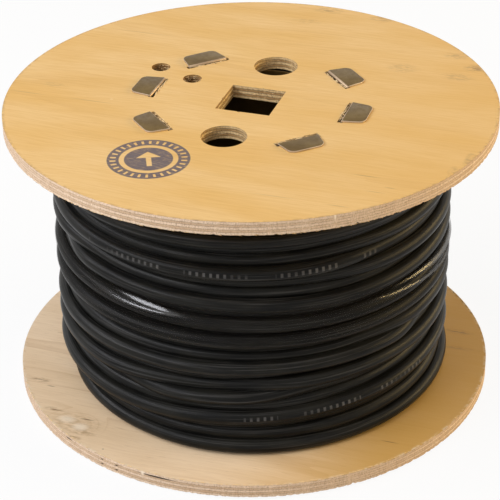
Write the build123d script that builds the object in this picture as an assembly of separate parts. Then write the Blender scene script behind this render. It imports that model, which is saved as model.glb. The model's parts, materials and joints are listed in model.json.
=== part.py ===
from build123d import *
import math
import os

# Plywood cable reel standing on its lower flange, wound with black cable.
# Millimetres; +Z is the reel's axis, and X and Y run along the sides of the square arbor hole.
# The origin is on the axis, on the floor under the folded tabs of the lower flange.

# Flanges: two equal plywood discs, held apart by the barrel
flange_d = 200.0
flange_t = 5.5
traverse = 112.5
arbor_square = 22.7
drive_hole_d = 18.2
drive_hole_pcd = 67.4
drive_hole_angles = (90, 270)
lacing_hole_d = 7.8
lacing_hole_gap = 4.6
lacing_hole_angle = 157.5

# Barrel: rolled sheet-steel tube with tabs folded outwards over both flanges
barrel_d = 82.0
barrel_sheet = 0.7
tab_angles = (0, 45, 135, 180, 225, 315)
tab_root_w = 17.4
tab_tip_w = 14.8
tab_reach = 8.6
tab_corner_r = 2.6
tab_bend_r = 0.3
slot_clearance = 0.4
slot_inner_gap = 1.1

# Winding: cable laid in layers on the barrel, every second layer nested half a turn back
cable_d = 6.1
layer_nest_share = 0.92
turn_relief_share = 0.3
end_relief_share = 0.5
winding_freeboard = 19.5
winding_clearance = 0.3

# Clear film wrapped round the winding, a little above its middle
film_t = 0.25
film_w = 17.0
film_rise = 4.5
film_clearance = 0.2

# One overrun serves every through cut
overrun = 2.0

# Worked-out places
flange_r = flange_d / 2
barrel_r = barrel_d / 2
barrel_inner_r = barrel_r - barrel_sheet
lower_face_z = barrel_sheet + flange_t
upper_face_z = lower_face_z + traverse
top_z = upper_face_z + flange_t
mid_z = (lower_face_z + upper_face_z) / 2

# A tab stands on a chord of the round wall, halfway between the wall's crown and the chord's ends
tab_sagitta = barrel_r - math.sqrt(barrel_r**2 - (tab_root_w / 2) ** 2)
tab_outer_x = barrel_r - tab_sagitta / 2
tab_inner_x = tab_outer_x - barrel_sheet
tab_bend_x = tab_outer_x + tab_bend_r
tab_tip_x = tab_bend_x + tab_reach

# The lacing holes stand the same way off the barrel wall, inside and outside
lacing_outer_r = barrel_r + lacing_hole_gap + lacing_hole_d / 2
lacing_inner_r = barrel_inner_r - lacing_hole_gap - lacing_hole_d / 2

winding_bore_r = barrel_r + winding_clearance
winding_r = flange_r - winding_freeboard
winding_low_z = lower_face_z + winding_clearance
winding_high_z = upper_face_z - winding_clearance
turn_count = max(1, round((winding_high_z - winding_low_z) / cable_d))
turn_pitch = (winding_high_z - winding_low_z) / turn_count
layer_count = max(1, round((winding_r - winding_bore_r) / (cable_d * layer_nest_share)))
layer_pitch = (winding_r - winding_bore_r) / layer_count


def polar(radius, angle):
    return (radius * math.cos(math.radians(angle)), radius * math.sin(math.radians(angle)))


def flange(low_z):
    # Disc with the arbor hole, drive holes, lacing holes and the straight slots that the tabs pass through
    holes = Rectangle(arbor_square, arbor_square)
    for angle in drive_hole_angles:
        holes += Pos(*polar(drive_hole_pcd / 2, angle)) * Circle(drive_hole_d / 2)
    for radius in (lacing_inner_r, lacing_outer_r):
        holes += Pos(*polar(radius, lacing_hole_angle)) * Circle(lacing_hole_d / 2)
    slot_low_x = tab_inner_x - slot_inner_gap
    slot_high_x = tab_outer_x + slot_clearance
    slot = Rectangle(slot_high_x - slot_low_x, tab_root_w + 2 * slot_clearance)
    for angle in tab_angles:
        holes += Rot(0, 0, angle) * Pos((slot_low_x + slot_high_x) / 2, 0) * slot
    disc = extrude(Pos(0, 0, low_z) * Circle(flange_r), flange_t)
    return disc - extrude(Pos(0, 0, low_z - overrun) * holes, flange_t + 2 * overrun)


def folded_tab():
    # Side profile in X and Z: riser through the slot, bend, and flap lying on the upper flange's outer face
    bend_z = top_z - tab_bend_r
    flap_z = top_z + barrel_sheet
    bend_centre = Vector(tab_bend_x, bend_z)
    towards_crown = Vector(-math.sqrt(0.5), math.sqrt(0.5))
    inner_crown = bend_centre + towards_crown * tab_bend_r
    outer_crown = bend_centre + towards_crown * (tab_bend_r + barrel_sheet)
    with BuildSketch(Plane.XZ) as profile:
        with BuildLine():
            Line((tab_outer_x, upper_face_z), (tab_outer_x, bend_z))
            ThreePointArc((tab_outer_x, bend_z), inner_crown, (tab_bend_x, top_z))
            Polyline((tab_bend_x, top_z), (tab_tip_x, top_z), (tab_tip_x, flap_z), (tab_bend_x, flap_z))
            ThreePointArc((tab_bend_x, flap_z), outer_crown, (tab_inner_x, bend_z))
            Polyline((tab_inner_x, bend_z), (tab_inner_x, upper_face_z), (tab_outer_x, upper_face_z))
        make_face()
    bent_strip = extrude(profile.sketch, tab_root_w / 2, both=True)
    # Plan outline: parallel through the slot and the bend, then tapering to rounded tip corners
    outline = Polygon(
        (tab_inner_x, -tab_root_w / 2),
        (tab_bend_x, -tab_root_w / 2),
        (tab_tip_x, -tab_tip_w / 2),
        (tab_tip_x, tab_tip_w / 2),
        (tab_bend_x, tab_root_w / 2),
        (tab_inner_x, tab_root_w / 2),
        align=None,
    )
    tip_corners = outline.vertices().group_by(Axis.X)[-1]
    outline = fillet(tip_corners, tab_corner_r)
    return bent_strip & extrude(Pos(0, 0, upper_face_z) * outline, flap_z - upper_face_z)


def barrel():
    # Tube between the flanges, with the same ring of folded tabs at both ends
    wall = Circle(barrel_r) - Circle(barrel_inner_r)
    tube = extrude(Pos(0, 0, lower_face_z) * wall, traverse)
    upper_tab = folded_tab()
    lower_tab = mirror(upper_tab, Plane.XY.offset(mid_z))
    for angle in tab_angles:
        tube += Rot(0, 0, angle) * upper_tab
        tube += Rot(0, 0, angle) * lower_tab
    return tube


def end_profile(end_z, inwards):
    # Layers across one end, from the bore outwards: odd layers reach the end, even ones lie back
    end_relief = cable_d * end_relief_share
    points = [(winding_bore_r, end_z + inwards * end_relief)]
    for layer in range(layer_count):
        lies_back = layer % 2
        points.append((winding_bore_r + (layer + 1 / 2) * layer_pitch, end_z + inwards * lies_back * end_relief))
    return points


def cable_winding():
    # Turned profile: plain bore, layers showing on both ends and turns showing on the outside
    valley_r = winding_r - cable_d * turn_relief_share
    outside = []
    for turn in range(turn_count):
        outside.append((valley_r, winding_low_z + turn * turn_pitch))
        outside.append((winding_r, winding_low_z + (turn + 1 / 2) * turn_pitch))
    lower_end = end_profile(winding_low_z, 1)
    upper_end = end_profile(winding_high_z, -1)
    outline = Polyline(*lower_end, *outside[1:], *reversed(upper_end), close=True)
    return revolve(Plane.XZ * make_face(outline), Axis.Z)


def wrap_film():
    # Thin band pulled tight over the crests of the turns
    film_r = winding_r + film_clearance
    film_low_z = mid_z + film_rise - film_w / 2
    band = Circle(film_r + film_t) - Circle(film_r)
    return extrude(Pos(0, 0, film_low_z) * band, film_w)


os.makedirs("parts", exist_ok=True)
nodes = {
    "bottom_flange": flange(barrel_sheet),
    "top_flange": flange(upper_face_z),
    "barrel": barrel(),
    "cable_winding": cable_winding(),
    "wrap_film": wrap_film(),
}
for name, solid in nodes.items():
    export_step(solid, f"parts/{name}.step")
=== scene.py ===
import json
import math
import bmesh
import bpy
import numpy as np
from mathutils import Matrix, Vector, noise


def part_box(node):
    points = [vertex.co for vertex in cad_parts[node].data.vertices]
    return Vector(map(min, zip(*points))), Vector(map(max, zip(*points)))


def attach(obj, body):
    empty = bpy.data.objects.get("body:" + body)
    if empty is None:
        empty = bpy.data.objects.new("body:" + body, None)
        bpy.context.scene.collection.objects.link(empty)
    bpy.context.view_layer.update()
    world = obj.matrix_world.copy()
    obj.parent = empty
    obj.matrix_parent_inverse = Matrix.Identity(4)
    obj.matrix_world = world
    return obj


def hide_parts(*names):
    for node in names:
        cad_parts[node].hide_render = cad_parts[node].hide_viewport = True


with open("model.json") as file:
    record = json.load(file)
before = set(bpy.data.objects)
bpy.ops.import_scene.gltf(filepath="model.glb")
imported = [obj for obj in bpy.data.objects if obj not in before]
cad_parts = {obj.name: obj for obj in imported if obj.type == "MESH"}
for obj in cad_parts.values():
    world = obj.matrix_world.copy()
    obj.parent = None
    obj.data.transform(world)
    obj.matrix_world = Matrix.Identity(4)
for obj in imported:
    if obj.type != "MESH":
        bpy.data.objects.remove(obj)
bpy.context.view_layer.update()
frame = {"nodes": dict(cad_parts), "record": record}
mm = 0.001
mounts = {mount["name"]: mount for mount in frame["record"]["mounts"]}
print("frame loaded:", ", ".join(sorted(frame["nodes"])))


# Small tools for meshes and node trees

def screenColor(red, green, blue):  # screen levels 0 to 255, made linear
    shares = [level / 255 for level in (red, green, blue)]
    linear = [s / 12.92 if s <= 0.04045 else ((s + 0.055) / 1.055) ** 2.4 for s in shares]
    return (*linear, 1.0)


def tints(**levels):  # screen colours by name
    return {name: screenColor(*level) for name, level in levels.items()}


def polar(radius, degrees, z=0.0):
    turn = math.radians(degrees)
    return Vector((radius * math.cos(turn), radius * math.sin(turn), z))


def bump(distance, reach):  # 1 at the middle, fading to 0 at about twice the reach
    return math.exp(-((distance / reach) ** 2))


def angleGap(first, second):  # degrees between two directions, the short way round
    return (first - second + 180) % 360 - 180


def addObject(name, data):
    added = bpy.data.objects.new(name, data)
    bpy.context.scene.collection.objects.link(added)
    return added


def finishPiece(mesh, name, materials, sharpAngle):
    for material in materials:
        mesh.materials.append(material)
    mesh.shade_smooth()
    mesh.set_sharp_from_angle(angle=math.radians(sharpAngle))
    piece = addObject(name, mesh)
    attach(piece, "root")
    print(name, len(mesh.polygons), "faces")
    return piece


def meshFrom(bm, name):
    mesh = bpy.data.meshes.new(name)
    bm.to_mesh(mesh)
    bm.free()
    return mesh


def turnOutward(bm):
    bmesh.ops.recalc_face_normals(bm, faces=bm.faces[:])


def vertsIn(geom):
    return [item for item in geom if isinstance(item, bmesh.types.BMVert)]


def edgesOf(verts):
    return list(dict.fromkeys(edge for vert in verts for edge in vert.link_edges))


def extrudeRing(bm, edges):  # a ring of walls, still without height: its new points and edges
    made = bmesh.ops.extrude_edge_only(bm, edges=edges)["geom"]
    verts = vertsIn(made)
    known = set(verts)
    return verts, [item for item in made if isinstance(item, bmesh.types.BMEdge) and set(item.verts) <= known]


def plug(tree, value, socket):
    if isinstance(value, bpy.types.NodeSocket):
        tree.links.new(value, socket)
    else:
        socket.default_value = value


def setSockets(tree, node, values):
    for name, value in values.items():
        plug(tree, value, node.inputs[name])


def put(tree, kind, sockets, **settings):
    node = tree.nodes.new("ShaderNode" + kind)
    for name, value in settings.items():
        setattr(node, name, value)
    setSockets(tree, node, sockets)
    return node


def calc(tree, operation, first, second=0.0):
    return put(tree, "Math", {0: first, 1: second}, operation=operation).outputs[0]


def times(tree, first, second):
    return calc(tree, "MULTIPLY", first, second)


def paint(tree, color, look, *coats):  # share and tint of each coat, one on another
    for share, tint in coats:
        color = put(tree, "Mix", {0: share, 6: color, 7: look[tint]}, data_type="RGBA").outputs[2]
    return color


def fade(tree, value, low, high, start=0.0, end=1.0):  # smooth step between two levels
    sockets = {"Value": value, "From Min": low, "From Max": high, "To Min": start, "To Max": end}
    return put(tree, "MapRange", sockets, interpolation_type="SMOOTHSTEP").outputs[0]


def within(tree, value, low, high, soft):  # 1 between two levels
    rise = fade(tree, value, low - soft, low + soft)
    return times(tree, rise, under(tree, value, high, soft))


def under(tree, value, level, soft):  # 1 below a level
    return fade(tree, value, level - soft, level + soft, 1.0, 0.0)


def blend(tree, operation, first, second):
    return put(tree, "VectorMath", {0: first, 1: second}, operation=operation).outputs[0]


def lengthOf(tree, vector):
    return put(tree, "VectorMath", {0: vector}, operation="LENGTH").outputs["Value"]


def fromAxis(tree, place):  # distance from the reel's axis
    return lengthOf(tree, blend(tree, "MULTIPLY", place, (1.0, 1.0, 0.0)))


def axesOf(tree, place):
    return put(tree, "SeparateXYZ", {0: place}).outputs


def attribute(tree, name):
    return put(tree, "Attribute", {}, attribute_name=name).outputs["Fac"]


def grainNoise(tree, place, scales, detail=2.0, roughness=0.5):
    stretched = blend(tree, "MULTIPLY", place, scales)
    sockets = {"Vector": stretched, "Scale": 1.0, "Detail": detail, "Roughness": roughness}
    return put(tree, "TexNoise", sockets).outputs[0]


def millimetres(tree):  # object coordinates in millimetres
    place = put(tree, "TexCoord", {}).outputs["Object"]
    return put(tree, "VectorMath", {0: place, "Scale": 1 / mm}, operation="SCALE").outputs[0]


def startMaterial(name):
    material = bpy.data.materials.new(name)
    material.use_nodes = True
    tree = material.node_tree
    return material, tree, tree.nodes["Principled BSDF"]


def bumpNormal(tree, height, distance, strength=1.0):
    sockets = {"Height": height, "Distance": distance * mm, "Strength": strength}
    return put(tree, "Bump", sockets).outputs[0]


def startGroup(name, vectors, numbers, results):
    group = bpy.data.node_groups.new(name, "ShaderNodeTree")
    sides = ((vectors, "INPUT", "Vector"), (numbers, "INPUT", "Float"), (results, "OUTPUT", "Float"))
    for titles, way, kind in sides:
        for title in titles:
            group.interface.new_socket(title, in_out=way, socket_type="NodeSocket" + kind)
    return group, group.nodes.new("NodeGroupInput").outputs, group.nodes.new("NodeGroupOutput").inputs


def useGroup(tree, group, sockets):
    return put(tree, "Group", sockets, node_tree=group).outputs


# Wood: flat veneer figure along X, and the plies that show on sawn edges

def makeVeneerGroup():
    group, given, result = startGroup(
        "veneerFigure", ["Place"], ["Swirl", "Ring Width"], ["Broad", "Ring", "Fibre", "Fleck"])
    place = given["Place"]
    sway = grainNoise(group, place, (0.008, 0.02, 0.0), 1.0)
    lift = times(group, calc(group, "SUBTRACT", sway, 0.5), 14.0)
    bent = blend(group, "ADD", place, put(group, "CombineXYZ", {"Y": lift}).outputs[0])
    plug(group, grainNoise(group, bent, (0.011, 0.04, 0.0), 2.0), result["Broad"])
    field = calc(group, "ADD", grainNoise(group, bent, (0.005, 0.05, 0.0), 1.5), given["Swirl"])
    saw = calc(group, "FRACT", times(group, field, 4.0))
    line = fade(group, saw, calc(group, "SUBTRACT", 1.0, given["Ring Width"]), 1.0)
    patch = fade(group, grainNoise(group, place, (0.012, 0.03, 0.0), 1.0), 0.4, 0.62)
    plug(group, times(group, line, patch), result["Ring"])
    plug(group, grainNoise(group, bent, (0.06, 1.1, 0.0), 4.0, 0.62), result["Fibre"])
    plug(group, fade(group, grainNoise(group, bent, (0.16, 1.9, 0.0), 2.0), 0.62, 0.74), result["Fleck"])
    return group


def makePlyGroup():
    group, given, result = startGroup(
        "plyEdge", ["Place", "Facing"], ["Low Face", "Ply"], ["End Grain", "Glue", "Streak", "Grit"])
    place = given["Place"]
    height = axesOf(group, place)["Z"]
    ragged = calc(group, "SUBTRACT", grainNoise(group, place, (0.5, 0.5, 0.9), 3.0), 0.5)
    level = calc(group, "DIVIDE", calc(group, "SUBTRACT", height, given["Low Face"]), given["Ply"])
    level = calc(group, "ADD", level, times(group, ragged, 0.5))
    swing = calc(group, "SINE", times(group, level, math.pi))
    crossPly = fade(group, swing, -0.25, 0.25, 1.0, 0.0)
    facing = axesOf(group, given["Facing"])
    endLong = times(group, facing["X"], facing["X"])      # face plies run along X
    endCross = times(group, facing["Y"], facing["Y"])
    swap = times(group, calc(group, "SUBTRACT", endCross, endLong), crossPly)
    plug(group, calc(group, "ADD", endLong, swap), result["End Grain"])
    broken = fade(group, grainNoise(group, place, (0.35, 0.35, 0.0), 2.0), 0.3, 0.52)
    line = fade(group, calc(group, "ABSOLUTE", swing), 0.05, 0.35, 1.0, 0.0)
    plug(group, times(group, line, broken), result["Glue"])
    plug(group, grainNoise(group, place, (2.1, 2.1, 0.5), 3.0, 0.65), result["Streak"])
    plug(group, grainNoise(group, place, (2.6, 2.6, 1.9), 3.0, 0.7), result["Grit"])
    return group


def makeSpotGroup():
    group, given, result = startGroup("woodSpot", ["Place", "Middle", "Reach"], [], ["Mask"])
    off = blend(group, "DIVIDE", blend(group, "SUBTRACT", given["Place"], given["Middle"]), given["Reach"])
    plug(group, fade(group, lengthOf(group, off), 0.15, 1.0, 1.0, 0.0), result["Mask"])
    return group


veneerGroup = makeVeneerGroup()
plyGroup = makePlyGroup()
spotGroup = makeSpotGroup()
spotDepth = 3.0  # a spot's reach into the board


def spotMask(tree, place, x, y, faceZ, reachX, reachY):  # oval on one face of a board
    sockets = {"Place": place, "Middle": (x, y, faceZ), "Reach": (reachX, reachY, spotDepth)}
    return useGroup(tree, spotGroup, sockets)["Mask"]


# Ink mark on the upper board: a plain ticked ring with a roll-this-way arrow

stamp = {
    "middle": (-21.4, -59.9, 124.2),
    "turn": -24.0,
    "band": (11.4, 16.0),
    "ticks": 30,
    "tickBand": (12.6, 14.9),
    "disc": 9.4,
    "shaft": 1.0,
    "arrowEnds": (-5.8, 6.0),
    "head": 4.8,
    "soft": 0.14,
    **tints(ink=(74, 66, 78)),
}


def inkMask(tree, place):
    soft = stamp["soft"]
    off = blend(tree, "SUBTRACT", place, stamp["middle"])
    sockets = {"Vector": off, "Angle": math.radians(stamp["turn"])}
    turned = put(tree, "VectorRotate", sockets, rotation_type="Z_AXIS").outputs[0]
    axes = axesOf(tree, turned)
    far = lengthOf(tree, turned)
    around = calc(tree, "ARCTAN2", axes["Y"], axes["X"])
    comb = fade(tree, calc(tree, "COSINE", times(tree, around, float(stamp["ticks"]))), 0.35, 0.6)
    tick = times(tree, comb, within(tree, far, *stamp["tickBand"], soft))
    band = calc(tree, "SUBTRACT", within(tree, far, *stamp["band"], soft), tick)
    side = calc(tree, "ABSOLUTE", axes["X"])
    tail, point = stamp["arrowEnds"]
    neck = point - stamp["head"]
    shaft = times(tree, under(tree, side, stamp["shaft"], soft), within(tree, axes["Y"], tail, neck, soft))
    slack = calc(tree, "SUBTRACT", side, calc(tree, "SUBTRACT", point, axes["Y"]))
    head = times(tree, under(tree, slack, 0.0, soft), within(tree, axes["Y"], neck, point, soft))
    disc = calc(tree, "SUBTRACT", under(tree, far, stamp["disc"], soft), calc(tree, "MAXIMUM", shaft, head))
    uneven = grainNoise(tree, place, (0.3, 1.6, 0.0), 3.0, 0.65)     # the grain takes ink unevenly
    return times(tree, calc(tree, "MAXIMUM", band, disc), fade(tree, uneven, 0.28, 0.5, 0.55, 0.94))


def makeVeneer(name, look):
    material, tree, shader = startMaterial(name)
    place = millimetres(tree)

    def spotsOf(key):  # mask and last value of each spot in a list
        for x, y, reachX, reachY, last in look[key]:
            yield spotMask(tree, place, x, y, look["faceZ"], reachX, reachY), last

    swirl = 0.0
    for mask, turns in spotsOf("knots"):  # the figure closes round a knot
        swirl = calc(tree, "ADD", swirl, times(tree, mask, turns))
    shifted = blend(tree, "ADD", place, look["offset"])
    figure = useGroup(tree, veneerGroup, {"Place": shifted, "Swirl": swirl, "Ring Width": look["ringWidth"]})
    # Towards +X, the side away from the window lamp, the veneer is painted darker and more amber: painted warm
    # shade
    warmShadeRamp = calc(tree, "ADD", axesOf(tree, place)["X"], times(tree, figure["Broad"], 40.0))
    color = paint(
        tree, look["pale"], look,
        (fade(tree, figure["Broad"], 0.32, 0.68), "warm"),
        (times(tree, figure["Ring"], look["ringShare"]), "ring"),
        (fade(tree, figure["Fibre"], 0.36, 0.7, 0.0, look["fibreShare"]), "ring"),
        (times(tree, figure["Fleck"], look["fleckShare"]), "fleck"),
        (fade(tree, warmShadeRamp, 30.0, 105.0, 0.0, look["heartShare"]), "heart"),
    )
    mottle = grainNoise(tree, place, (0.3, 0.8, 0.0), 3.0, 0.6)
    for mask, share in spotsOf("smudges"):
        color = paint(tree, color, look, (times(tree, mask, fade(tree, mottle, 0.36, 0.64, 0.0, share)), "soil"))
    for key, tint in (("lumps", "lump"), ("cracks", "crack")):  # pale, hard spots of a knot, then cracks
        for mask, share in spotsOf(key):
            color = paint(tree, color, look, (times(tree, mask, share), tint))
    nearRim = fade(tree, fromAxis(tree, place), look["rim"] - look["wearWidth"], look["rim"])
    patchy = fade(tree, grainNoise(tree, place, (0.4, 0.4, 0.4), 3.0, 0.65), 0.4, 0.62, 0.0, look["wearShare"])
    color = paint(tree, color, look, (times(tree, nearRim, patchy), "wear"))
    if look["inked"]:
        color = paint(tree, color, stamp, (inkMask(tree, place), "ink"))
    setSockets(tree, shader, {
        "Base Color": color,
        "Roughness": fade(tree, figure["Fibre"], 0.3, 0.7, look["gloss"], look["gloss"] + 0.14),
        "Normal": bumpNormal(tree, figure["Fibre"], 0.05, 0.5),
    })
    return material


def makeEdge(name, look):
    material, tree, shader = startMaterial(name)
    place = millimetres(tree)
    facing = put(tree, "TexCoord", {}).outputs["Normal"]
    sockets = {"Place": place, "Facing": facing, "Low Face": look["lowFace"], "Ply": look["ply"]}
    plies = useGroup(tree, plyGroup, sockets)
    color = paint(
        tree, look["pale"], look,
        (times(tree, plies["End Grain"], look["endShare"]), "end"),
        (fade(tree, plies["Streak"], 0.38, 0.7, 0.0, look["streakShare"]), "end"),
        (fade(tree, plies["Grit"], 0.5, 0.72, 0.0, look["gritShare"]), "dark"),
        (times(tree, plies["Glue"], look["glueShare"]), "dark"),
        # the voids in the plies are painted dark: painted shade inside the recess
        (fade(tree, attribute(tree, "pit"), 0.15, 0.6), "pit"),
    )
    for x, y, z, reach in look["nicks"]:  # knocks that show fresh wood
        color = paint(tree, color, look, (spotMask(tree, place, x, y, z, reach, reach), "fresh"))
    setSockets(tree, shader, {
        "Base Color": color,
        "Roughness": fade(tree, plies["Grit"], 0.3, 0.7, 0.74, 0.94),
        "Normal": bumpNormal(tree, plies["Grit"], 0.25, 0.8),
    })
    return material


# Boards: two plywood discs, every edge sawn or punched and a little ragged

board = {
    "plies": 5,
    "rimSteps": 960,
    "holeSteps": {"drive": 110, "lacing": 56},
    "arborSquare": 22.7,
    "arborCuts": 31,
    "slot": (2.2, 18.2),        # across and along the barrel wall
    "slotMiddle": 39.83,
    "slotCuts": 23,
    "tabAngles": (0, 45, 135, 180, 225, 315),
    "plyShares": (0.06, 0.5, 0.94),
    "rimShare": 0.97,           # what lies farther out than this belongs to the rim
    "lacingReach": 4.5,         # and what lies this near the middle of a lacing hole to its wall
    "arris": 0.2,               # worn corner of every edge
    "crossSetback": 0.1,        # cross plies lie back from the others
    "sawRough": 0.18,
    "holeRough": 0.62,
    "fineGrain": (1.1, 0.35),   # waves to the mm along and up the wall
    "tornGrain": (0.4, 7.3),    # and from ply to ply
    "roughShares": (0.45, 0.35, 0.5),   # even, fine and torn part of the roughness
    "leastSetback": 0.02,
    "voidDepth": 0.8,
    "chip": 0.85,
    "chipGrain": (0.8, 7.0),
    "chipStep": 0.02,           # keeps the levels of a chipped wall apart
}
topLook = {
    **tints(pale=(234, 195, 130), warm=(226, 181, 104), ring=(206, 158, 82), fleck=(190, 143, 80),
            lump=(240, 212, 160), soil=(142, 110, 66), crack=(120, 88, 46), wear=(180, 142, 92),
            heart=(224, 177, 98)),
    "ringWidth": 0.3, "ringShare": 0.26, "fibreShare": 0.32, "fleckShare": 0.22, "heartShare": 0.35, "gloss": 0.46,
    "rim": 100.0, "wearWidth": 1.4, "wearShare": 0.7, "offset": (12.0, 31.0, 0.0), "inked": True,
    # x, y, reach along and across the grain, strength
    "knots": (),
    "lumps": ((-54.3, -15.4, 1.0, 0.7, 0.7),),
    "smudges": (
        (75.0, 45.0, 9.0, 5.0, 0.4), (80.0, 55.0, 6.0, 4.5, 0.7), (70.0, 65.0, 7.0, 4.0, 0.45),
        (51.0, 47.0, 9.0, 6.0, 0.35), (5.0, 96.0, 9.0, 4.0, 0.5), (30.0, 93.0, 8.0, 4.0, 0.4),
        (-1.4, 82.0, 9.0, 4.0, 0.25), (-82.0, -9.5, 8.0, 3.0, 0.25), (95.5, -25.0, 2.6, 8.0, 0.5),
        (91.5, -36.0, 2.4, 5.0, 0.45),
    ),
    "cracks": (
        (-90.0, -19.5, 11.0, 0.5, 0.3), (-62.0, -19.2, 14.0, 0.5, 0.28), (61.5, -49.1, 7.0, 0.5, 0.4),
        (79.8, 55.2, 1.6, 0.5, 0.7), (-66.0, 50.0, 20.0, 0.6, 0.2), (33.0, -74.0, 12.0, 0.45, 0.25),
        (72.4, -55.6, 3.0, 0.4, 0.4), (57.8, -74.3, 6.0, 0.4, 0.35), (67.9, -60.2, 5.0, 0.4, 0.3),
    ),
}
bottomLook = {
    # The strong amber towards +X on this board is painted warm shade
    **tints(pale=(244, 217, 181), warm=(232, 203, 164), ring=(200, 163, 118), fleck=(164, 126, 82),
            lump=(252, 236, 210), soil=(150, 116, 72), crack=(96, 70, 42), wear=(238, 220, 194),
            heart=(200, 154, 66)),
    "ringWidth": 0.32, "ringShare": 0.4, "fibreShare": 0.22, "fleckShare": 0.3, "heartShare": 0.85, "gloss": 0.5,
    "rim": 100.0, "wearWidth": 1.5, "wearShare": 0.75, "offset": (-57.0, 140.0, 0.0), "inked": False,
    "knots": ((-51.5, -76.8, 16.0, 11.0, 0.75),),
    "lumps": ((-56.2, -75.2, 5.6, 3.4, 0.55), (-48.9, -78.8, 5.0, 3.6, 0.6)),
    "smudges": (
        (-52.5, -77.0, 17.0, 10.0, 0.42), (-64.0, -70.2, 6.0, 1.8, 0.8), (-48.5, -86.4, 4.5, 1.6, 0.9),
        (-78.0, -52.0, 7.0, 2.2, 0.6), (-46.0, -82.0, 7.0, 3.0, 0.5), (82.0, 36.2, 9.0, 2.4, 0.5),
        (85.0, 23.5, 12.0, 2.0, 0.35),
    ),
    "cracks": (
        (-48.2, -73.1, 4.2, 0.4, 0.9), (-71.9, -55.1, 2.6, 0.4, 0.7), (-78.0, -51.9, 5.0, 0.35, 0.6),
        (-34.3, -90.1, 0.5, 0.5, 0.7), (74.0, -51.5, 5.0, 0.35, 0.7), (82.0, 36.0, 6.5, 0.4, 0.5),
        (63.7, -44.7, 0.5, 0.5, 0.6), (-63.5, -70.4, 3.4, 0.35, 0.5),
    ),
}
rimLook = {
    **tints(pale=(236, 211, 182), end=(186, 150, 112), dark=(120, 88, 56), pit=(46, 34, 22), fresh=(246, 228, 202)),
    "endShare": 0.62, "streakShare": 0.5, "gritShare": 0.65, "glueShare": 0.75,
}
# Hole walls: the end grain and glue lines are real, and their extra darkness against the rim is painted shade of
# the hole
shadedHoleLook = {
    **tints(pale=(240, 211, 156), end=(164, 122, 68), dark=(58, 38, 18), pit=(40, 28, 16), fresh=(238, 212, 166)),
    "endShare": 0.8, "streakShare": 0.5, "gritShare": 0.65, "glueShare": 1.0,
}
# The narrow lacing holes have their whole wall painted darker: painted shade
shadedLacingLook = {**shadedHoleLook, **tints(pale=(184, 142, 86), end=(136, 98, 52), dark=(50, 32, 14))}
# Voids in the plies: angle and level of the middle, half width in mm along the rim and in plies
bottomVoids = ((-109.3, 1.5, 0.5, 0.3), (-109.3, 3.5, 0.5, 0.3), (-105.1, 1.5, 0.6, 0.32), (-105.1, 3.5, 0.6, 0.32),
               (-94.5, 4.05, 7.5, 0.22), (-120.5, 4.1, 2.2, 0.2), (24.0, 1.5, 0.6, 0.3), (131.0, 3.5, 3.0, 0.3))
topVoids = ((76.0, 1.5, 0.7, 0.3), (163.0, 3.5, 2.4, 0.3))
# Knocks on the rims: place and reach
bottomNicks = ((-14.0, -99.0, 6.0, 1.2),)
topNicks = ((58.6, -80.9, 123.9, 0.6),)


def roundLoop(bm, outward, middle, radius, steps, side):
    made = bmesh.ops.create_circle(bm, segments=steps, radius=radius, matrix=Matrix.Translation(middle))
    for vert in made["verts"]:
        vert[outward] = (vert.co - middle).normalized() * side


def straightLoop(bm, outward, middle, turn, halfWidth, halfLength, cuts):
    swing = Matrix.Rotation(turn, 4, "Z")
    size = Matrix.Diagonal((halfWidth * math.sqrt(2), halfLength * math.sqrt(2), 1, 1))
    matrix = Matrix.Translation(middle) @ swing @ size @ Matrix.Rotation(math.pi / 4, 4, "Z")
    known = set(bm.verts)
    corners = bmesh.ops.create_circle(bm, segments=4, radius=1.0, matrix=matrix)["verts"]
    bmesh.ops.subdivide_edges(bm, edges=edgesOf(corners), cuts=cuts)
    loop = [vert for vert in bm.verts if vert not in known]
    back = swing.inverted()
    for vert in loop:
        local = back @ (vert.co - middle)
        onWidth = abs(abs(local.x) - halfWidth) < halfWidth * 0.01
        onLength = abs(abs(local.y) - halfLength) < halfLength * 0.01
        away = Vector((-math.copysign(onWidth, local.x), -math.copysign(onLength, local.y), 0))
        vert[outward] = swing @ away


def edgeSetback(place, level, onRim, voids):  # how far a wall point lies back, and how deep its void is
    rough = board["sawRough"] if onRim else board["holeRough"]
    ply = min(int(level), board["plies"] - 1)
    fine, torn = (noise.noise(Vector((place.x * side, place.y * side, height * up)))
                  for (side, up), height in ((board["fineGrain"], place.z), (board["tornGrain"], ply)))
    even, fineShare, tornShare = board["roughShares"]
    setback = max(board["leastSetback"], rough * (even + fineShare * fine + tornShare * torn))
    if ply % 2:
        setback += board["crossSetback"]
    if level < 0.01 or level > board["plies"] - 0.01:
        setback += board["arris"] * (1.0 + 0.6 * fine)
    pit = 0.0
    if onRim:
        heading = math.degrees(math.atan2(place.y, place.x))
        for angle, middle, halfWidth, halfLevel in voids:
            along = math.radians(angleGap(heading, angle)) * place.xy.length
            pit = max(pit, bump(along, halfWidth) * bump(level - middle, halfLevel))
    return setback + board["voidDepth"] * pit, pit


def holesOf(key, node):  # mounts of one kind of hole in a board
    side = node.split("_")[0]
    return [mount for title, mount in mounts.items() if title.startswith(f"{key}_hole_{side}")]


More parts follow.
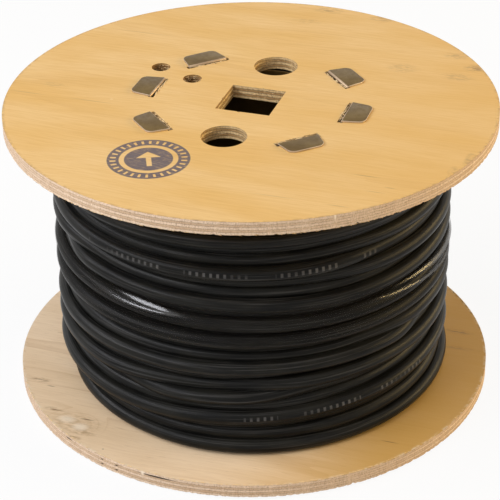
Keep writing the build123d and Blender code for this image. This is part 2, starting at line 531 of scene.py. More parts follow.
def makeBoard(name, node, voids, materials):
    low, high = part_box(node)
    plyThick = (high.z - low.z) / board["plies"]
    bm = bmesh.new()
    outward = bm.verts.layers.float_vector.new("outward")
    pitLayer = bm.verts.layers.float.new("pit")
    floorZ = Vector((0, 0, low.z))
    roundLoop(bm, outward, floorZ, high.x, board["rimSteps"], 1)
    for key, steps in board["holeSteps"].items():
        for mount in holesOf(key, node):
            middle = Vector((*mount["pos_m"][:2], low.z))
            roundLoop(bm, outward, middle, mount["dims"]["r_mm"] * mm, steps, -1)
    half = board["arborSquare"] * mm / 2
    straightLoop(bm, outward, floorZ, 0.0, half, half, board["arborCuts"])
    across, along = (size * mm / 2 for size in board["slot"])
    for angle in board["tabAngles"]:
        middle = polar(board["slotMiddle"] * mm, angle, low.z)
        straightLoop(bm, outward, middle, math.radians(angle), across, along, board["slotCuts"])
    lowEdges = bm.edges[:]
    heights = [(ply + share) * plyThick for ply in range(board["plies"]) for share in board["plyShares"]]
    edges, reached = lowEdges, 0.0
    for height in [*heights, high.z - low.z]:  # one ring of walls for each level
        verts, edges = extrudeRing(bm, edges)
        bmesh.ops.translate(bm, verts=verts, vec=(0, 0, height - reached))
        reached = height
    lacings = [Vector(mount["pos_m"][:2]) for mount in holesOf("lacing", node)]
    rimFrom = high.x * board["rimShare"]
    for face in bm.faces:
        spot = face.calc_center_median().xy
        inLacing = min((spot - middle).length for middle in lacings) < board["lacingReach"] * mm
        face.material_index = 1 if spot.length > rimFrom else 3 if inLacing else 2
    for vert in bm.verts:
        place = vert.co / mm
        level = (vert.co.z - low.z) / plyThick
        onRim = vert.co.xy.length > rimFrom
        setback, vert[pitLayer] = edgeSetback(place, level, onRim, voids)
        vert.co -= vert[outward] * setback * mm
        if onRim:  # small chips along the lower corner
            grain, cut = board["chipGrain"]
            flake = max(0.0, noise.noise(Vector((place.x * grain, place.y * grain, cut))))
            vert.co.z = max(vert.co.z, low.z + (flake * board["chip"] + board["chipStep"] * level) * mm)
    bmesh.ops.triangle_fill(bm, use_beauty=True, edges=lowEdges, normal=(0, 0, -1))
    bmesh.ops.triangle_fill(bm, use_beauty=True, edges=edges, normal=(0, 0, 1))
    turnOutward(bm)
    bm.verts.layers.float_vector.remove(outward)
    piece = finishPiece(meshFrom(bm, name), name, materials, sharpAngle=38)
    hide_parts(node)


for name, node, look, voids, nicks in (("topBoard", "top_flange", topLook, topVoids, topNicks),
                                       ("bottomBoard", "bottom_flange", bottomLook, bottomVoids, bottomNicks)):
    low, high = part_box(node)
    plies = {"lowFace": low.z / mm, "ply": (high.z - low.z) / mm / board["plies"], "nicks": nicks}
    woods = [makeVeneer(name + "Veneer", {**look, "faceZ": high.z / mm})]
    for ending, edgeLook in (("Rim", rimLook), ("Holes", shadedHoleLook), ("Lacings", shadedLacingLook)):
        woods.append(makeEdge(name + ending, {**edgeLook, **plies}))
    makeBoard(name, node, voids, woods)


# Torn fibres: slivers left in the slots and holes and along the sawn rims

fibres = {
    "seed": 11,
    "thick": (0.06, 0.17),
    "slot": (42, 0.8, 3.2),     # how many in each, shortest and longest, as in the rows below
    "slotThick": (0.12, 0.32),
    "lacing": (60, 0.8, 2.6),
    "drive": (26, 1.0, 3.2),
    "inward": {"drive": 0.15, "lacing": 1.0},   # how far they stand into a hole
    "holeInset": 0.15,          # rooted this far inside the wall of a hole
    "topInset": 0.35,           # and this far off the faces of the board
    "lowInset": 0.5,
    "crowding": 1.6,            # most of them near the upper face
    "arbor": (56, 1.2, 4.5),
    "rim": (700, 0.5, 1.8),
    "rimThick": (0.1, 0.26),
    "rimInset": 0.36,
    **tints(torn=(238, 208, 156), brown=(120, 82, 40)),
}


def addSliver(bm, rng, place, direction, shortest, longest, thickness="thick"):
    length, thick = rng.uniform(shortest, longest), rng.uniform(*fibres[thickness])
    lay = direction.to_track_quat("Z", "Y").to_matrix().to_4x4()
    matrix = Matrix.Translation(place * mm) @ lay @ Matrix.Diagonal((1.0, 0.6, 1.0, 1.0))
    bmesh.ops.create_cone(bm, cap_ends=True, segments=4, radius1=thick * mm, radius2=thick * mm / 4,
                          depth=length * mm, matrix=matrix)


def addHoleSlivers(bm, rng, low, high, middle, radius, count, shortest, longest, inward):
    span = high - low - fibres["topInset"] - fibres["lowInset"]
    for _ in range(count):
        away = polar(1.0, rng.uniform(0, 360))
        along = Vector((-away.y, away.x, rng.uniform(-0.2, 0.2)))
        lean = rng.uniform(0.3, 1.0) * inward
        place = middle + away * (radius - fibres["holeInset"] - inward * rng.uniform(0.2, 1.0))
        place.z = high - fibres["topInset"] - span * rng.uniform(0, 1) ** fibres["crowding"]
        addSliver(bm, rng, place, (along * rng.choice((-1, 1)) - away * lean).normalized(), shortest, longest)


def addSlotSlivers(bm, rng, face, outside):
    count, shortest, longest = fibres["slot"]
    across, along = board["slot"]
    for angle in board["tabAngles"]:
        swing = Matrix.Rotation(math.radians(angle), 3, "Z")
        for _ in range(count):
            x = board["slotMiddle"] - across / 2 + rng.uniform(-0.5, 0.7)
            y = rng.uniform(-0.5, 0.5) * (along - longest)
            place = Vector((x, y, face + outside * rng.uniform(-0.5, 0.15)))
            lie = Vector((rng.uniform(-0.35, 0.35), rng.choice((-1, 1)), outside * rng.uniform(-0.12, 0.12)))
            addSliver(bm, rng, swing @ place, (swing @ lie).normalized(), shortest, longest, "slotThick")


def addArborSlivers(bm, rng, low, high):
    count, shortest, longest = fibres["arbor"]
    half = board["arborSquare"] / 2
    for k in range(count):  # along the four walls in turn
        swing = Matrix.Rotation(math.pi / 2 * (k % 4), 3, "Z")
        y = rng.uniform(-0.5, 0.5) * (2 * half - longest)
        place = Vector((half + rng.uniform(-0.15, 0.15), y, rng.uniform(low + 0.5, high - 0.3)))
        lie = Vector((rng.uniform(-0.08, 0.05), rng.choice((-1, 1)), rng.uniform(-0.05, 0.05)))
        addSliver(bm, rng, swing @ place, (swing @ lie).normalized(), shortest, longest)


def addRimSlivers(bm, rng, radius, corner, outside):
    count, shortest, longest = fibres["rim"]
    for _ in range(count):
        turn = rng.uniform(0, 360)
        tangent = polar(1.0, turn + 90)
        if abs(tangent.x) < rng.uniform(0.1, 0.9):  # face veneer tears along X
            continue
        lie = Vector((math.copysign(1.0, tangent.x), 0, 0)) * 0.35 + tangent * 0.65
        lie.z = rng.uniform(-0.12, 0.12)
        place = polar(radius - fibres["rimInset"], turn, corner + outside * rng.uniform(-0.3, 0.2))
        addSliver(bm, rng, place, lie.normalized() * rng.choice((-1, 1)), shortest, longest, "rimThick")


def makeFibres(material):
    rng = np.random.default_rng(fibres["seed"])
    bm = bmesh.new()
    for node, outside in (("top_flange", 1), ("bottom_flange", -1)):
        low, high = (corner.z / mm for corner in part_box(node))
        face, corner = (high, low) if outside > 0 else (low, high)
        addSlotSlivers(bm, rng, face, outside)
        for key, inward in fibres["inward"].items():
            for mount in holesOf(key, node):
                middle = Vector((mount["pos_m"][0] / mm, mount["pos_m"][1] / mm, 0))
                addHoleSlivers(bm, rng, low, high, middle, mount["dims"]["r_mm"], *fibres[key], inward)
        addArborSlivers(bm, rng, low, high)
        addRimSlivers(bm, rng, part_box(node)[1].x / mm, corner, outside)
    turnOutward(bm)
    finishPiece(meshFrom(bm, "tornFibres"), "tornFibres", [material], sharpAngle=60)


def makeTornWood(name):
    material, tree, shader = startMaterial(name)
    place = millimetres(tree)
    stain = grainNoise(tree, place, (0.7, 0.7, 0.7), 2.0)
    fresher = fade(tree, fromAxis(tree, place), 60.0, 90.0, -0.06, -0.22)    # towards the rims
    deep = calc(tree, "ADD", stain, fresher)
    setSockets(tree, shader, {
        "Base Color": paint(tree, fibres["torn"], fibres, (fade(tree, deep, 0.46, 0.66), "brown")),
        "Roughness": fade(tree, stain, 0.3, 0.7, 0.75, 0.95),
    })
    return material


makeFibres(makeTornWood("tornWood"))


# Barrel: rolled sheet with six tabs folded out over each board

sheet = {
    "thick": 0.7,
    "wallRadius": 41.0,
    "tubeSteps": 144,
    "tabRoot": 17.4,
    "tabTip": 14.8,
    "tabReach": 8.6,
    "tabCorner": 2.6,
    "bendRadius": 0.3,
    "bendSteps": 5,
    "riserOuter": 40.53,        # outside of the riser, from the axis
    "edgeRound": 0.11,
    "paintedReflectionDepth": 0.8,             # below the board's face, how far the painted reflection on the bend reaches
    "tabTurns": (0.8, -1.4, 1.1, -0.5, 1.6, -1.0),   # degrees that each tab sits askew
}


def makeSteel(name, look):
    material, tree, shader = startMaterial(name)
    place = millimetres(tree)
    mill = grainNoise(tree, place, (0.5, 0.5, 0.5), 4.0, 0.65)
    smudge = grainNoise(tree, place, (0.12, 0.12, 0.12), 2.0)
    stain = fade(tree, mill, 0.45, 0.75, 0.0, 0.3)
    setSockets(tree, shader, {
        "Base Color": paint(tree, look["dark"], look, (fade(tree, smudge, 0.35, 0.65), "light"), (stain, "stain")),
        "Metallic": look["metal"],
        "Roughness": fade(tree, mill, 0.3, 0.7, look["gloss"], look["gloss"] + 0.15),
        "Normal": bumpNormal(tree, mill, 0.03, 0.4),
    })
    return material


def foldTab(bm, topZ, faceZ):
    # Outside face of the strip in X and Z: riser, bend, flap; then the width and the taper
    outer, bend = sheet["riserOuter"] * mm, sheet["bendRadius"] * mm
    start = bm.verts.new((outer, -sheet["tabRoot"] * mm / 2, faceZ))
    riser = bm.verts.new((outer, start.co.y, topZ - bend))
    bm.edges.new((start, riser))
    swept = bmesh.ops.spin(bm, geom=[riser], cent=(outer + bend, start.co.y, topZ - bend), axis=(0, 1, 0),
                           angle=math.pi / 2, steps=sheet["bendSteps"])
    tip = vertsIn(swept["geom_last"])[0]
    end = bm.verts.new(tip.co + Vector((sheet["tabReach"] * mm, 0, 0)))
    bm.edges.new((tip, end))
    farSide, _ = extrudeRing(bm, bm.edges[:])
    bmesh.ops.translate(bm, verts=farSide, vec=(0, sheet["tabRoot"] * mm, 0))
    corners = [vert for vert in bm.verts if vert.co.x > end.co.x - 1e-6]
    for vert in corners:
        vert.co.y *= sheet["tabTip"] / sheet["tabRoot"]
    bmesh.ops.bevel(bm, geom=corners, affect="VERTICES", offset=sheet["tabCorner"] * mm, segments=6, profile=0.5,
                    material=-1)


def makeTab():
    # One tab on the upper board, standing at angle 0
    bm = bmesh.new()
    low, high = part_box("top_flange")
    foldTab(bm, high.z, low.z)
    turnOutward(bm)
    flap = max(bm.faces, key=lambda face: face.calc_area() if abs(face.normal.z) > 0.9 else 0)
    if flap.normal.z < 0:
        bmesh.ops.reverse_faces(bm, faces=bm.faces[:])
    bmesh.ops.solidify(bm, geom=bm.faces[:], thickness=-sheet["thick"] * mm)
    turnOutward(bm)
    bendEnd = (sheet["riserOuter"] + sheet["bendRadius"]) * mm
    for face in bm.faces:
        outEnd = face.calc_center_median().x > bendEnd and abs(face.normal.z) < 0.5
        face.material_index = 1 if abs(face.normal.y) > 0.4 or outEnd else 0
    brinks = [edge for edge in bm.edges if len(edge.link_faces) == 2
              and edge.link_faces[0].material_index != edge.link_faces[1].material_index]
    bmesh.ops.bevel(bm, geom=brinks, affect="EDGES", offset=sheet["edgeRound"] * mm, segments=2, profile=0.5,
                    material=1)
    for face in bm.faces:  # the outside of the bend is painted pale pink: a painted reflection of the wood and the light
        if face.normal.x < -0.2 and face.calc_center_median().z > high.z - sheet["paintedReflectionDepth"] * mm:
            face.material_index = 2
    return meshFrom(bm, "tabPattern")


def makeBarrel(materials):
    low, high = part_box("bottom_flange")[1].z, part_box("top_flange")[0].z
    barrelLow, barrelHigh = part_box("barrel")
    bm = bmesh.new()
    made = bmesh.ops.create_circle(bm, segments=sheet["tubeSteps"], radius=sheet["wallRadius"] * mm,
                                   matrix=Matrix.Translation((0, 0, low)))
    upper, _ = extrudeRing(bm, edgesOf(made["verts"]))
    bmesh.ops.translate(bm, verts=upper, vec=(0, 0, high - low))
    turnOutward(bm)
    bmesh.ops.solidify(bm, geom=bm.faces[:], thickness=sheet["thick"] * mm)
    tab = makeTab()
    middle = (barrelLow.z + barrelHigh.z) / 2
    root = Matrix.Translation((sheet["riserOuter"] * mm, 0, 0))
    turnOver = Matrix.Translation((0, 0, middle)) @ Matrix.Rotation(math.pi, 4, "X")
    turnOver = turnOver @ Matrix.Translation((0, 0, -middle))
    for angle, askew in zip(board["tabAngles"], sheet["tabTurns"]):
        stand = Matrix.Rotation(math.radians(angle), 4, "Z") @ root
        stand = stand @ Matrix.Rotation(math.radians(askew), 4, "Z") @ root.inverted()
        for matrix in (stand, turnOver @ Matrix.Rotation(math.radians(-2 * angle), 4, "Z") @ stand):
            before = set(bm.verts)
            bm.from_mesh(tab)
            bmesh.ops.transform(bm, matrix=matrix, verts=[vert for vert in bm.verts if vert not in before])
    bpy.data.meshes.remove(tab)
    piece = finishPiece(meshFrom(bm, "steelBarrel"), "steelBarrel", materials, sharpAngle=35)
    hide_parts("barrel")


steelLooks = {
    "millSteel": {**tints(light=(118, 96, 54), dark=(104, 82, 43), stain=(84, 66, 34)),
                  "metal": 0.75, "gloss": 0.38},
    "shearedSteel": {**tints(light=(206, 190, 172), dark=(184, 168, 150), stain=(150, 130, 110)),
                     "metal": 0.8, "gloss": 0.3},
    # pale pink on the outside of the bend: a painted reflection of the wood and the light
    "bendPaintedReflection": {**tints(light=(184, 160, 132), dark=(160, 136, 108), stain=(132, 108, 82)),
                  "metal": 0.7, "gloss": 0.34},
}
makeBarrel([makeSteel(name, look) for name, look in steelLooks.items()])


# Cable: an over-full outer layer, pulled tight and pushed apart round by round, so its turns ride up

cable = {
    "girth": 6.1,
    "turns": 24,
    "steps": 150,               # points in a turn
    "seed": 2,
    "rounds": 450,
    "pull": 0.02,
    "grip": 0.8,                # the pull grows by this for each mm above the layer
    "hold": 0.03,
    "push": 0.3,
    "stiffness": 5,
    "jitter": 0.3,
    "guidedTurns": 1.5,         # the flanges guide the turns next to them, which wander only by this share
    "guidedShare": 0.15,
    "floor": 75.5,              # axis to the middle of a turn that lies on the layer below
    "ceiling": 79.1,            # and of a turn that rides on its neighbours
    "ridge": 0.35,              # rise over the turns below
    "nestShare": 0.42,          # of the girth, from a turn's middle to the crests below
    "endClearance": 0.1,
    "wander": ((1.0, 1.0), (1.05, 1.6), (0.95, 1.6), (0.41, 1.5), (2.07, 0.5)),
    "startAngle": 108.5,        # both ends tuck in behind
    "tuckTurns": 0.06,
    "tuckDepth": 6.0,
    "looseAngle": 18.5,         # the lowest turn stands off on this side and lies deeper on the other
    "looseRise": 4.4,
    "sides": 16,
}
layers = {"turns": 18, "layers": 6, "bore": 41.3, "steps": 96, "bumpPoints": 5, "relief": 1.8}
# Plain dashes where a sheath is printed: angle and height of the middle and half length of each row
dashes = {"rows": ((-73.0, 87.5, 60.0), (-38.0, 28.5, 44.0)), "pitch": 2.6, "dash": 0.5, "halfWidth": 0.28,
          "group": 34.0, "groupGap": 5.0, "raised": 0.1, "soft": 0.12, "roundSoft": 0.05, "groupSoft": 0.2,
          "endSoft": 0.5, "mmPerDegree": 1.4, "proudShare": 2.0}
# the lighter tint of the die lines is a painted sheen
rubberLook = tints(clean=(18, 18, 17), dusty=(31, 30, 26), drawn=(58, 57, 55), ink=(104, 102, 100))


def windOuterTurns(low, high):
    rng = np.random.default_rng(cable["seed"])
    steps, turns, girth = cable["steps"], cable["turns"], cable["girth"]
    along = np.arange(steps * turns + 1) / steps
    lowest, highest = low + girth / 2, high - girth / 2
    wander = sum(size * np.sin(2 * np.pi * cycles * along + rng.uniform(0, 2 * np.pi))
                 for cycles, size in cable["wander"])
    calm = np.clip(np.minimum(along, turns - along) / cable["guidedTurns"], cable["guidedShare"], 1)
    wanted = lowest + (highest - lowest) * along / turns + wander * calm
    z = np.clip(wanted, lowest, highest)
    r = cable["floor"] + rng.uniform(0, cable["jitter"], len(along))
    pitch = (high - low) / layers["turns"]
    for _ in range(cable["rounds"]):
        r -= cable["pull"] * (1 + cable["grip"] * np.clip(r - cable["floor"], 0, None))
        z += cable["hold"] * (wanted - z)
        for gap in (steps, 2 * steps, 3 * steps):  # neighbouring turns push each other apart
            dz, dr = z[gap:] - z[:-gap], r[gap:] - r[:-gap]
            apart = np.maximum(np.hypot(dz, dr), 1e-6)
            push = np.clip(girth - apart, 0, None) / apart * cable["push"]
            z[gap:] += push * dz
            z[:-gap] -= push * dz
            r[gap:] += push * dr
            r[:-gap] -= push * dr
        for line in (z, r):
            for _ in range(cable["stiffness"]):
                line[1:-1] += 0.25 * (line[2:] + line[:-2] - 2 * line[1:-1])
        seat = cable["floor"] - cable["ridge"] * np.cos(2 * np.pi * (z - low) / pitch)
        r = np.clip(r, seat, cable["ceiling"])
        z = np.clip(z, lowest, highest)
    heading = cable["startAngle"] + 360 * along
    slack = np.cos(np.radians(heading - cable["looseAngle"])) * np.clip(2 - along, 0, 1)
    r += cable["looseRise"] * slack
    tuck = np.clip(1 - np.minimum(along, turns - along) / cable["tuckTurns"], 0, 1)
    r -= cable["tuckDepth"] * tuck * tuck
    return np.radians(heading), r, z


def tubeAlong(name, points, radius, sides):  # a bevelled curve, made a mesh
    curve = bpy.data.curves.new(name, "CURVE")
    curve.dimensions = "3D"
    curve.twist_mode = "Z_UP"
    curve.bevel_depth = radius
    curve.bevel_resolution = (sides - 4) // 2
    curve.use_fill_caps = True
    spline = curve.splines.new("POLY")
    spline.points.add(len(points) - 1)
    spline.points.foreach_set("co", np.column_stack([points, np.ones(len(points))]).ravel())
    holder = addObject(name, curve)
    bpy.context.view_layer.update()
    mesh = bpy.data.meshes.new_from_object(holder.evaluated_get(bpy.context.evaluated_depsgraph_get()))
    bpy.data.objects.remove(holder)
    bpy.data.curves.remove(curve)
    mesh.name = name
    return mesh


def markLengths(mesh, lengths, radii, heights):
    # Where each point lies along the cable in mm, and round it in radians from the outside
    spots = np.empty(len(mesh.vertices) * 3)
    mesh.vertices.foreach_get("co", spots)
    spots = spots.reshape(-1, 3) / mm
    points = np.append(np.arange(len(lengths)), [0, len(lengths) - 1])   # the two caps come last
    ring = np.repeat(points, cable["sides"])
    around = np.arctan2(spots[:, 2] - heights[ring], np.hypot(spots[:, 0], spots[:, 1]) - radii[ring])
    for title, values in (("along", lengths[ring]), ("around", around)):
        mesh.attributes.new(title, "FLOAT", "POINT").data.foreach_set("value", values.astype(np.float32))


def makeRubber(name, rows):
    material, tree, shader = startMaterial(name)
    along, around = attribute(tree, "along"), attribute(tree, "around")
    sheath = put(tree, "CombineXYZ", {"X": along, "Y": around}).outputs[0]
    die = grainNoise(tree, sheath, (0.02, 4.2, 0.0), 3.0, 0.65)     # lines drawn along the sheath
    dust = grainNoise(tree, millimetres(tree), (0.06, 0.06, 0.3), 3.0, 0.6)
    # the die lines are real, and their lighter colour is a painted sheen along them
    color = paint(tree, rubberLook["clean"], rubberLook,
                  (fade(tree, dust, 0.35, 0.7), "dusty"), (fade(tree, die, 0.49, 0.7), "drawn"))
    wave = calc(tree, "PINGPONG", along, dashes["pitch"] / 2)
    lowSide, highSide = (dashes["raised"] + side * dashes["halfWidth"] for side in (-1, 1))
    stroke = times(tree, under(tree, wave, dashes["dash"], dashes["soft"]),
                   within(tree, around, lowSide, highSide, dashes["roundSoft"]))
    rubbed = grainNoise(tree, sheath, (0.07, 0.3, 0.0), 2.0)
    stroke = times(tree, stroke, fade(tree, rubbed, 0.35, 0.6, 0.15, 0.6))
    group = calc(tree, "PINGPONG", along, dashes["group"] / 2)
    gapStart, gapEnd = (dashes["groupGap"] + side * dashes["groupSoft"] for side in (-1, 1))
    stroke = times(tree, stroke, fade(tree, group, gapStart, gapEnd))
    for start, end in rows:
        onRow = within(tree, along, start, end, dashes["endSoft"])
        color = paint(tree, color, rubberLook, (times(tree, stroke, onRow), "ink"))
    setSockets(tree, shader, {
        "Base Color": color,
        "Roughness": fade(tree, die, 0.3, 0.7, 0.4, 0.27),
        "Specular IOR Level": 0.09,
        "Normal": bumpNormal(tree, die, 0.12, 0.7),
    })
    return material


def makeLayers(low, high, outside, material):
    # Layers below: a turned body with rounded turns outside and rounded layers on both ends
    bm = bmesh.new()
    points = []
    bore, relief, bumps = layers["bore"], layers["relief"], layers["bumpPoints"]
    pitch = (high - low) / layers["turns"]
    layer = (outside - bore) / layers["layers"]
    shape = [math.sin(math.pi * k / bumps) for k in range(bumps)]
    for k in range(layers["layers"] * bumps):
        points.append((bore + layer * k / bumps, low + relief * (1 - shape[k % bumps])))
    for k in range(layers["turns"] * bumps):
        points.append((outside - relief * (1 - shape[k % bumps]), low + pitch * k / bumps))
    for k in range(layers["layers"] * bumps):
        points.append((outside - layer * k / bumps, high - relief * (1 - shape[k % bumps])))
    points.append((bore, high - relief))
    points[layers["layers"] * bumps] = (outside - relief, low + relief)
    verts = [bm.verts.new((r * mm, 0, z * mm)) for r, z in points]
    edges = [bm.edges.new(pair) for pair in zip(verts, verts[1:] + verts[:1])]
    bmesh.ops.spin(bm, geom=verts + edges, cent=(0, 0, 0), axis=(0, 0, 1), angle=2 * math.pi, steps=layers["steps"],
                   use_merge=True)
    bmesh.ops.remove_doubles(bm, verts=bm.verts[:], dist=1e-6)
    turnOutward(bm)
    finishPiece(meshFrom(bm, "innerLayers"), "innerLayers", [material], sharpAngle=60)


coilLow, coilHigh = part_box("cable_winding")
outerLow, outerHigh = coilLow.z / mm + cable["endClearance"], coilHigh.z / mm - cable["endClearance"]
heading, turnRadius, turnZ = windOuterTurns(outerLow, outerHigh)
route = np.column_stack([turnRadius * np.cos(heading), turnRadius * np.sin(heading), turnZ])
lengths = np.concatenate([[0.0], np.cumsum(np.linalg.norm(np.diff(route, axis=0), axis=1))])
print("outer turns lie at", round(turnRadius.min(), 1), "to", round(turnRadius.max(), 1), "mm,",
      round(lengths[-1] / 1000, 2), "m long")
printed = []
for angle, z, half in dashes["rows"]:  # the proudest turn near the place asked for
    sideways = angleGap(np.degrees(heading), angle) * dashes["mmPerDegree"]
    middle = lengths[np.argmin(np.hypot(sideways, turnZ - z) - dashes["proudShare"] * turnRadius)]
    printed.append((middle - half, middle + half))
rubber = makeRubber("blackRubber", printed)
cableMesh = tubeAlong("woundCable", route * mm, cable["girth"] * mm / 2, cable["sides"])
markLengths(cableMesh, lengths, turnRadius, turnZ)
outerTurns = finishPiece(cableMesh, "woundCable", [rubber], sharpAngle=60)
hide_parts("cable_winding")
makeLayers(outerLow, outerHigh, cable["floor"] - cable["girth"] * cable["nestShare"], rubber)


# Film: clear strip stretched over the middle turns

film = {
    "gap": 0.2,                 # off the cable
    "steps": 600,
    "rows": 118,
    "sag": 0.12,
    "edgeWave": 0.5,
    "waveScale": 2.2,
    "tautPasses": 60,           # pulled straight round the reel, then evened out, then softened with its folds
    "evenPasses": 40,
    "softPasses": 8,
    "gentle": 0.22,             # slope of a fold below its crest
    "standOff": 0.2,            # a fold this far off the hull is doubled
    "lapBelow": 0.3,            # the doubled film starts below the crest
    "lapSoft": 0.4,
    "rampStart": 0.2,           # along a fold it starts and is full at these shares
    "rampEnd": 0.55,
    # folds: start angle and height, end angle and height, rise, lean of the rise towards the end,
    # slope above the crest at both ends, how far the doubled film reaches above the crest, gloss
    "folds": (
        (-134.0, 71.6, -89.0, 70.0, 1.9, 1.6, 0.7, 0.85, 1.0, 0.8),
        (-122.0, 74.8, -90.0, 70.4, 1.3, 1.5, 0.75, 0.85, 1.6, 0.8),
        (-58.0, 73.2, 12.0, 64.6, 1.5, 1.3, 0.55, 0.85, 1.0, 0.9),
        (-44.0, 73.4, 20.0, 69.4, 1.5, 1.2, 0.55, 0.85, 1.8, 0.9),
        (60.0, 63.0, 86.0, 66.0, 0.7, 1.0, 0.75, 0.75, 1.2, 0.6),
        (150.0, 70.0, 176.0, 68.0, 0.9, 1.0, 0.75, 0.75, 1.2, 0.6),
    ),
}


def filmRadius(angle, zs):
    # Height of the turns at one angle, bridged from crest to crest
    half = cable["girth"] / 2
    turnsDone = ((math.degrees(angle) - cable["startAngle"]) / 360) % 1.0
    at = (np.arange(cable["turns"]) + turnsDone) * cable["steps"]
    index = np.arange(len(turnZ))
    crest = np.full(len(zs), cable["floor"] - half)
    for r, z in zip(np.interp(at, index, turnRadius), np.interp(at, index, turnZ)):
        off = np.abs(zs - z)
        crest = np.where(off < half, np.maximum(crest, r + np.sqrt(np.maximum(half**2 - off**2, 0))), crest)
    hull = []
    for point in zip(zs, crest):  # upper hull, as a tight film lies
        while len(hull) > 1:
            (z1, r1), (z2, r2) = hull[-2:]
            if (r2 - r1) * (point[0] - z1) > (point[1] - r1) * (z2 - z1):
                break
            hull.pop()
        hull.append(point)
    bridge = np.interp(zs, [z for z, _ in hull], [r for _, r in hull])
    return bridge - film["sag"] * np.clip(bridge - crest, 0, 2) + film["gap"]


def foldFilm(hull, zs):
    # Folds stand off the hull with steady slopes, and the film is doubled in them
    folded, doubled = hull.copy(), np.zeros_like(hull)
    degrees = 360 * np.arange(film["steps"]) / film["steps"]
    for startAngle, startZ, endAngle, endZ, height, lean, startSlope, endSlope, lap, gloss in film["folds"]:
        share = angleGap(degrees, startAngle) / angleGap(endAngle, startAngle)
        inside = np.flatnonzero((share > 0) & (share < 1))
        share = share[inside]
        crestZ = startZ + (endZ - startZ) * share
        base = [np.interp(z, zs, hull[k]) for k, z in zip(inside, crestZ)]
        crest = np.polyval(np.polyfit(share, base, 2), share) + height * np.sin(np.pi * share**lean)
        off = zs[None, :] - crestZ[:, None]
        slope = (startSlope + (endSlope - startSlope) * share)[:, None]
        lifted = crest[:, None] - np.where(off > 0, slope, film["gentle"]) * np.abs(off)
        layered = np.clip((lifted - hull[inside]) / film["standOff"], 0, 1)
        layered *= np.clip(np.minimum(off + film["lapBelow"], lap - off) / film["lapSoft"], 0, 1)
        ramp = (share - film["rampStart"]) / (film["rampEnd"] - film["rampStart"])
        layered *= gloss * np.clip(ramp, 0, 1)[:, None]
        doubled[inside] = np.maximum(doubled[inside], layered)
        folded[inside] = np.maximum(folded[inside], lifted)
    return folded, doubled


def evened(grid):  # each column of the film averaged with the next ones round the reel
    return (np.roll(grid, 1, 0) + 2 * grid + np.roll(grid, -1, 0)) / 4


def makeFilm(material):
    low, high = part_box("wrap_film")
    zs = np.linspace(low.z / mm, high.z / mm, film["rows"])
    radii = np.array([filmRadius(2 * math.pi * k / film["steps"], zs) for k in range(film["steps"])])
    for _ in range(film["tautPasses"]):
        radii = np.maximum(radii, (np.roll(radii, 1, 0) + np.roll(radii, -1, 0)) / 2)
    for _ in range(film["evenPasses"]):
        radii = evened(radii)
    radii, doubled = foldFilm(radii, zs)
    for grid in (radii, doubled):
        for _ in range(film["softPasses"]):
            grid[:, 1:-1] = (grid[:, 2:] + 2 * grid[:, 1:-1] + grid[:, :-2]) / 4
            grid[:] = evened(grid)
    bm = bmesh.new()
    foldLayer = bm.verts.layers.float.new("fold")
    rows = [bmesh.ops.create_circle(bm, segments=film["steps"], radius=1.0)["verts"]]
    edges = edgesOf(rows[0])
    for _ in zs[1:]:
        verts, edges = extrudeRing(bm, edges)
        rows.append(verts)
    for row, z in enumerate(zs):
        lift = row / (film["rows"] - 1)
        for vert in rows[row]:
            angle = math.atan2(vert.co.y, vert.co.x)
            step = round(angle / (2 * math.pi) * film["steps"]) % film["steps"]
            ring = Vector((math.cos(angle), math.sin(angle), 0)) * film["waveScale"]
            lowWave, highWave = (noise.noise(ring + Vector((0, 0, level))) for level in (5.0, 11.0))
            edge = film["edgeWave"] * (lowWave * (1 - lift) + highWave * lift)
            vert.co = polar(radii[step, row] * mm, math.degrees(angle), (z + edge) * mm)
            vert[foldLayer] = doubled[step, row]
    turnOutward(bm)
    piece = finishPiece(meshFrom(bm, "stretchFilm"), "stretchFilm", [material], sharpAngle=60)
    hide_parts("wrap_film")


def makeFilmLook(name):
    material, tree, shader = startMaterial(name)
    strain = grainNoise(tree, millimetres(tree), (0.015, 0.015, 0.5), 1.0, 0.4)  # lines of stretch
    fold = attribute(tree, "fold")
    cover = fade(tree, strain, 0.35, 0.75, 0.14, 0.24)
    setSockets(tree, shader, {
        "Base Color": screenColor(36, 33, 30),
        "Roughness": fade(tree, strain, 0.4, 0.7, 0.12, 0.18),
        "Alpha": calc(tree, "ADD", cover, times(tree, fold, 0.72)),
        "Specular IOR Level": 0.0,      # the gloss is in the coat
        "Coat Weight": fold,
        "Coat Roughness": 0.15,
        "Coat IOR": 2.1,                # several layers lie on each other
    })
    return material


makeFilm(makeFilmLook("clearFilm"))


# Stage: pale floor, soft lights from both sides, camera as in the picture

view = {
    "azimuth": 18.5,
    "elevation": 29.9,
    "distance": 0.8108,
    "sensor": 36.0,
    "focalPixels": 1932.0,
    "imagePixels": 500.0,
    "roll": -0.77,
    "shift": (-0.0052, -0.0348),
    "aim": 0.06245,
}
stage = {
    "floorSize": 4.0,
    "floorTone": (0.86, 0.86, 0.86, 1),
    "skyLevel": 0.28,
    "floorGlow": 0.9,
    # name, heading from the camera, elevation, distance, width, height, power, colour
    "lamps": (
        ("windowLamp", -75.0, 34.0, 1.5, 2.1, 0.55, 23.0, (0.92, 0.93, 1.0)),
        ("warmLamp", 98.0, 16.0, 1.4, 1.4, 0.3, 16.0, (1.0, 0.72, 0.3)),
        ("topLamp", -10.0, 66.0, 1.5, 1.6, 0.35, 4.3, (1.0, 0.99, 0.97)),
    ),
}


def seenBackground(tree):  # camera, glossy and transmission rays see the plain background
    path = put(tree, "LightPath", {}).outputs
    seen = calc(tree, "MAXIMUM", path["Is Camera Ray"], path["Is Glossy Ray"])
    return calc(tree, "MAXIMUM", seen, path["Is Transmission Ray"])


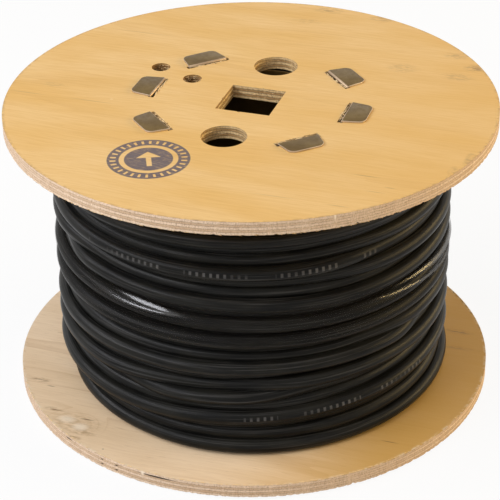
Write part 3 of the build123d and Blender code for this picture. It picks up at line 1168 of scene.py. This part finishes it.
def makeStage():
    bm = bmesh.new()
    bmesh.ops.create_grid(bm, x_segments=1, y_segments=1, size=stage["floorSize"])
    floor = addObject("paleFloor", meshFrom(bm, "paleFloor"))
    material, tree, shader = startMaterial("paleFloor")
    setSockets(tree, shader, {"Base Color": stage["floorTone"], "Roughness": 0.9, "Specular IOR Level": 0.1})
    glow = put(tree, "Emission", {"Color": (1, 1, 1, 1), "Strength": 1.0}).outputs[0]
    share = times(tree, seenBackground(tree), stage["floorGlow"])
    mixed = put(tree, "MixShader", {0: share, 1: shader.outputs[0], 2: glow}).outputs[0]
    plug(tree, mixed, tree.nodes["Material Output"].inputs["Surface"])
    floor.data.materials.append(material)
    world = bpy.data.worlds.new("paleRoom")
    world.use_nodes = True
    tree = world.node_tree
    level = times(tree, seenBackground(tree), 1 - stage["skyLevel"])
    level = calc(tree, "ADD", level, stage["skyLevel"])
    setSockets(tree, tree.nodes["Background"], {"Color": (1, 1, 1, 1), "Strength": level})
    bpy.context.scene.world = world


def sightLine(heading, elevation):  # unit vector from the object, heading 0 towards the camera
    turn, rise = math.radians(view["azimuth"] + heading), math.radians(elevation)
    return Vector((math.sin(turn) * math.cos(rise), -math.cos(turn) * math.cos(rise), math.sin(rise)))


def makeLamps():
    for name, heading, elevation, distance, width, height, power, color in stage["lamps"]:
        light = bpy.data.lights.new(name, "AREA")
        light.shape = "RECTANGLE"
        light.size, light.size_y = width, height
        light.energy = power
        light.color = color
        lamp = addObject(name, light)
        back = sightLine(heading, elevation)
        lamp.location = back * distance + Vector((0, 0, view["aim"]))
        lamp.rotation_euler = (-back).to_track_quat("-Z", "Y").to_euler()


def makeCamera():
    lens = bpy.data.cameras.new("camera")
    lens.sensor_width = view["sensor"]
    lens.lens = lens.sensor_width * view["focalPixels"] / view["imagePixels"]
    lens.shift_x, lens.shift_y = view["shift"]
    camera = addObject("camera", lens)
    back = sightLine(0.0, view["elevation"])
    camera.location = back * view["distance"] + Vector((0, 0, view["aim"]))
    facing = (-back).to_track_quat("-Z", "Y").to_matrix().to_4x4()
    facing = facing @ Matrix.Rotation(math.radians(view["roll"]), 4, "Z")
    camera.rotation_euler = facing.to_euler()
    bpy.context.scene.camera = camera


makeStage()
makeLamps()
makeCamera()
bpy.context.scene.view_settings.view_transform = "Standard"
